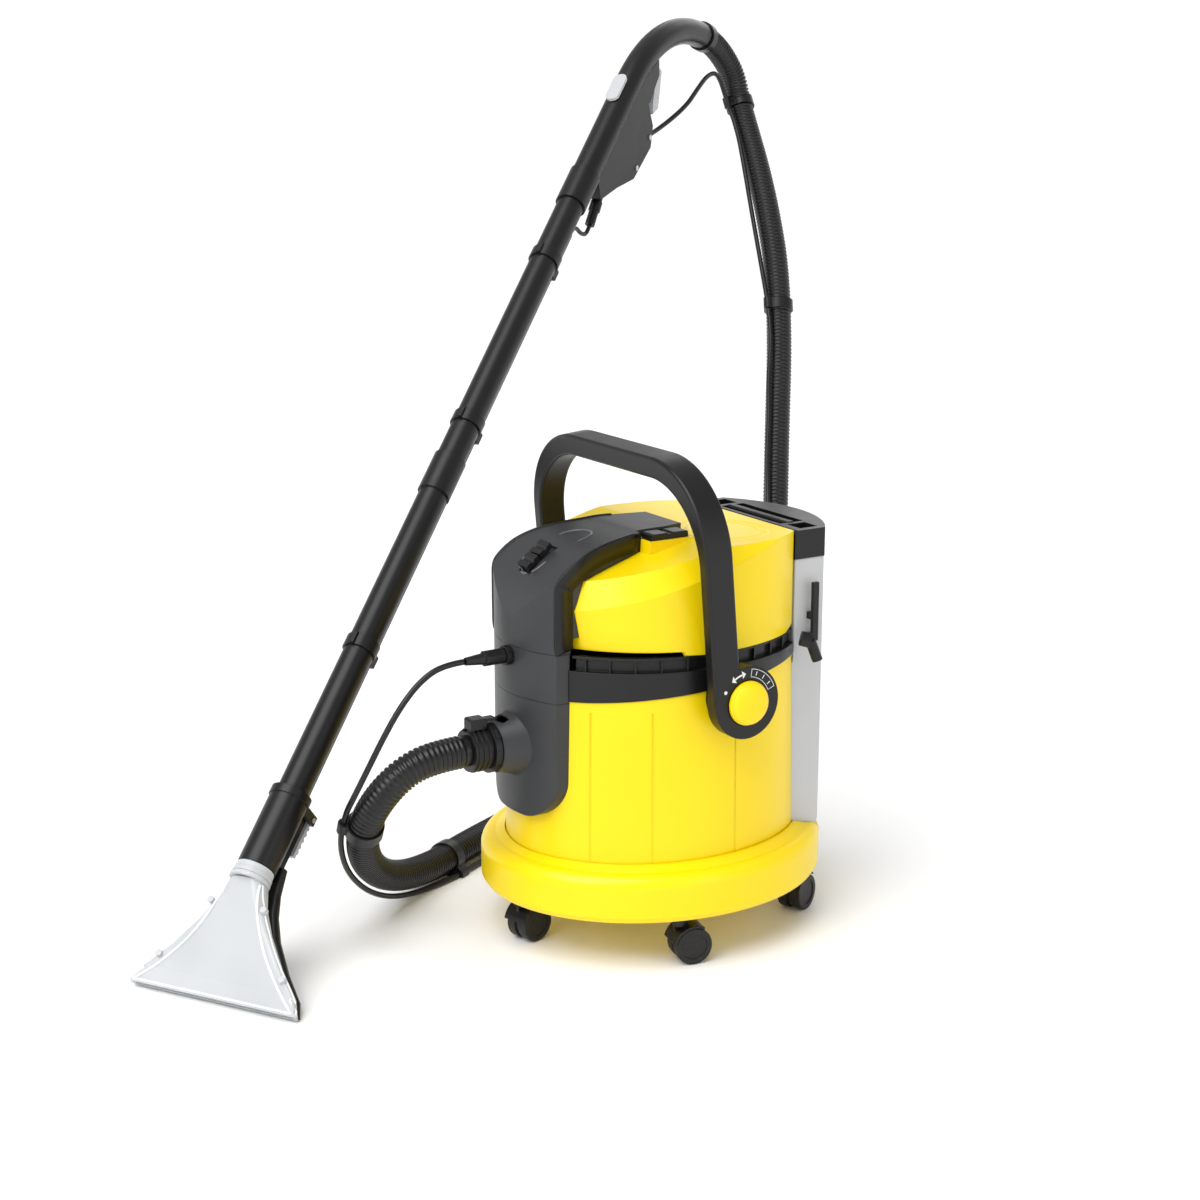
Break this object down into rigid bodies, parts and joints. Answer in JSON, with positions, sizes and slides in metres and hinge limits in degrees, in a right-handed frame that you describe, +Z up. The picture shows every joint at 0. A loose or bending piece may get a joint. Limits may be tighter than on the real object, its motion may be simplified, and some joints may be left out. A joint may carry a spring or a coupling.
{
  "type": "spray extraction carpet cleaner",
  "caption": "Oval wet carpet cleaner on casters with carrying bail, rear water tank, ribbed suction hose and a floor wand with a clear flat nozzle.",
  "frame": {"origin": "on the floor, under the upright axis of the oval container", "axes": "+Z up; the front panel and hose port face -Y; the water tank is at +Y"},
  "size_m": [0.9917, 1.3174, 1.0918],
  "materials": {
    "yellow_plastic": "satin",
    "grey_panel": "satin",
    "black_plastic": "matte",
    "hose_black": "satin",
    "tank_plastic": "frosted",
    "clear_plastic": "clear",
    "pale_plastic": "satin",
    "tread": "matte",
    "screw_steel": "brushed",
    "motor_steel": "brushed"
  },
  "bodies": {
    "container": {"base_ring": "yellow_plastic", "container": "yellow_plastic", "lower_front_panel": "grey_panel", "middle_front_panel": "grey_panel", "suction_port": "black_plastic", "hose_cuff": "black_plastic", "spray_socket": "black_plastic", "spray_plug": "black_plastic", "suction_hose": "hose_black", "spray_hose": "hose_black", "link_hose": "hose_black", "hose_clips": "black_plastic", "nozzle_body": "black_plastic", "nozzle_hood": "clear_plastic", "nozzle_pegs": "pale_plastic", "spray_tip": "pale_plastic", "lower_tube": "black_plastic", "upper_tube": "black_plastic", "tube_clips": "black_plastic", "spray_pipes": "black_plastic", "grip_pipe": "black_plastic", "hose_sleeve": "black_plastic", "valve_housing": "black_plastic", "valve_screws": "screw_steel", "valve_fitting": "black_plastic"},
    "head": {"head_ring": "black_plastic", "lid": "yellow_plastic", "top_panel": "grey_panel", "motor_housing": "black_plastic", "motor": "motor_steel", "float_cage": "black_plastic", "spray_pump": "black_plastic", "bail_knobs": "yellow_plastic", "cable_gland": "black_plastic"},
    "bail": {"bail": "black_plastic"},
    "tank": {"water_tank": "tank_plastic", "tank_cap": "black_plastic", "tank_grip": "black_plastic", "intake_tube": "pale_plastic", "cable_hook": "black_plastic"},
    "vacuum_rocker": {"vacuum_rocker": "black_plastic"},
    "pump_rocker": {"pump_rocker": "black_plastic"},
    "main_switch": {"main_switch": "black_plastic"},
    "impeller": {"impeller": "motor_steel"},
    "float": {"float": "pale_plastic"},
    "trigger": {"trigger": "pale_plastic"},
    "air_slider": {"air_slider": "pale_plastic"},
    "nozzle_lever": {"nozzle_lever": "pale_plastic"},
    "cuff_latch": {"cuff_latch": "black_plastic"},
    "caster_1": {"caster_housing_1": "black_plastic"},
    "caster_1_wheels": {"caster_wheels_1": "tread"},
    "caster_2": {"caster_housing_2": "black_plastic"},
    "caster_2_wheels": {"caster_wheels_2": "tread"},
    "caster_3": {"caster_housing_3": "black_plastic"},
    "caster_3_wheels": {"caster_wheels_3": "tread"},
    "caster_4": {"caster_housing_4": "black_plastic"},
    "caster_4_wheels": {"caster_wheels_4": "tread"},
    "caster_5": {"caster_housing_5": "black_plastic"},
    "caster_5_wheels": {"caster_wheels_5": "tread"}
  },
  "joints": [
    {"name": "head_lift", "type": "slide", "parent": "container", "child": "head", "axis": [0, 0, 1], "range_m": [0, 0.18]},
    {"name": "bail_swing", "type": "hinge", "parent": "head", "child": "bail", "pos_m": [0, 0.004, 0.318], "axis": [1, 0, 0], "range_deg": [-20, 60]},
    {"name": "tank_lift", "type": "slide", "parent": "container", "child": "tank", "axis": [0, 0.4472, 0.8944], "range_m": [0, 0.25]},
    {"name": "vacuum_rocker_tilt", "type": "hinge", "parent": "head", "child": "vacuum_rocker", "pos_m": [0, -0.15357, 0.47883], "axis": [1, 0, 0], "range_deg": [0, 8]},
    {"name": "pump_rocker_tilt", "type": "hinge", "parent": "head", "child": "pump_rocker", "pos_m": [0, -0.17012, 0.4659], "axis": [1, 0, 0], "range_deg": [-8, 0]},
    {"name": "main_switch_tilt", "type": "hinge", "parent": "head", "child": "main_switch", "pos_m": [0.059, -0.022, 0.488], "axis": [1, 0, 0], "range_deg": [-4, 4]},
    {"name": "impeller_spin", "type": "hinge", "parent": "head", "child": "impeller", "pos_m": [0, 0.01, 0.36], "axis": [0, 0, 1], "continuous": true},
    {"name": "float_rise", "type": "slide", "parent": "head", "child": "float", "axis": [0, 0, 1], "range_m": [0, 0.045]},
    {"name": "trigger_pull", "type": "hinge", "parent": "container", "child": "trigger", "pos_m": [-0.64155, 0.41588, 1.01542], "axis": [-0.848, -0.5299, 0], "range_deg": [0, 9], "stiffness_Nm_per_rad": 0.6, "springref_deg": -2.86},
    {"name": "air_slide", "type": "slide", "parent": "container", "child": "air_slider", "axis": [-0.3975, 0.6361, 0.6613], "range_m": [0, 0.012]},
    {"name": "nozzle_lever_tilt", "type": "hinge", "parent": "container", "child": "nozzle_lever", "pos_m": [-0.12824, -0.40559, 0.15743], "axis": [0.848, 0.5299, 0], "range_deg": [0, 15]},
    {"name": "cuff_latch_press", "type": "slide", "parent": "container", "child": "cuff_latch", "axis": [0, 0, -1], "range_m": [0, 0.0015], "stiffness_N_per_m": 400, "springref_m": -0.0005},
    {"name": "caster_1_swivel", "type": "hinge", "parent": "container", "child": "caster_1", "pos_m": [0, -0.184, 0.0625], "axis": [0, 0, 1], "continuous": true},
    {"name": "caster_1_roll", "type": "hinge", "parent": "caster_1", "child": "caster_1_wheels", "pos_m": [-0.00311, -0.17241, 0.0225], "axis": [0.9659, 0.2588, 0], "continuous": true},
    {"name": "caster_2_swivel", "type": "hinge", "parent": "container", "child": "caster_2", "pos_m": [0.15027, -0.05686, 0.0625], "axis": [0, 0, 1], "continuous": true},
    {"name": "caster_2_roll", "type": "hinge", "parent": "caster_2", "child": "caster_2_wheels", "pos_m": [0.15276, -0.04512, 0.0225], "axis": [0.9781, -0.2079, 0], "continuous": true},
    {"name": "caster_3_swivel", "type": "hinge", "parent": "container", "child": "caster_3", "pos_m": [0.09287, 0.14886, 0.0625], "axis": [0, 0, 1], "continuous": true},
    {"name": "caster_3_roll", "type": "hinge", "parent": "caster_3", "child": "caster_3_wheels", "pos_m": [0.0878, 0.15973, 0.0225], "axis": [0.9063, 0.4226, 0], "continuous": true},
    {"name": "caster_4_swivel", "type": "hinge", "parent": "container", "child": "caster_4", "pos_m": [-0.09287, 0.14886, 0.0625], "axis": [0, 0, 1], "continuous": true},
    {"name": "caster_4_roll", "type": "hinge", "parent": "caster_4", "child": "caster_4_wheels", "pos_m": [-0.08877, 0.16013, 0.0225], "axis": [0.9397, -0.342, 0], "continuous": true},
    {"name": "caster_5_swivel", "type": "hinge", "parent": "container", "child": "caster_5", "pos_m": [-0.15027, -0.05686, 0.0625], "axis": [0, 0, 1], "continuous": true},
    {"name": "caster_5_roll", "type": "hinge", "parent": "caster_5", "child": "caster_5_wheels", "pos_m": [-0.15194, -0.04498, 0.0225], "axis": [0.9903, 0.1392, 0], "continuous": true}
  ]
}
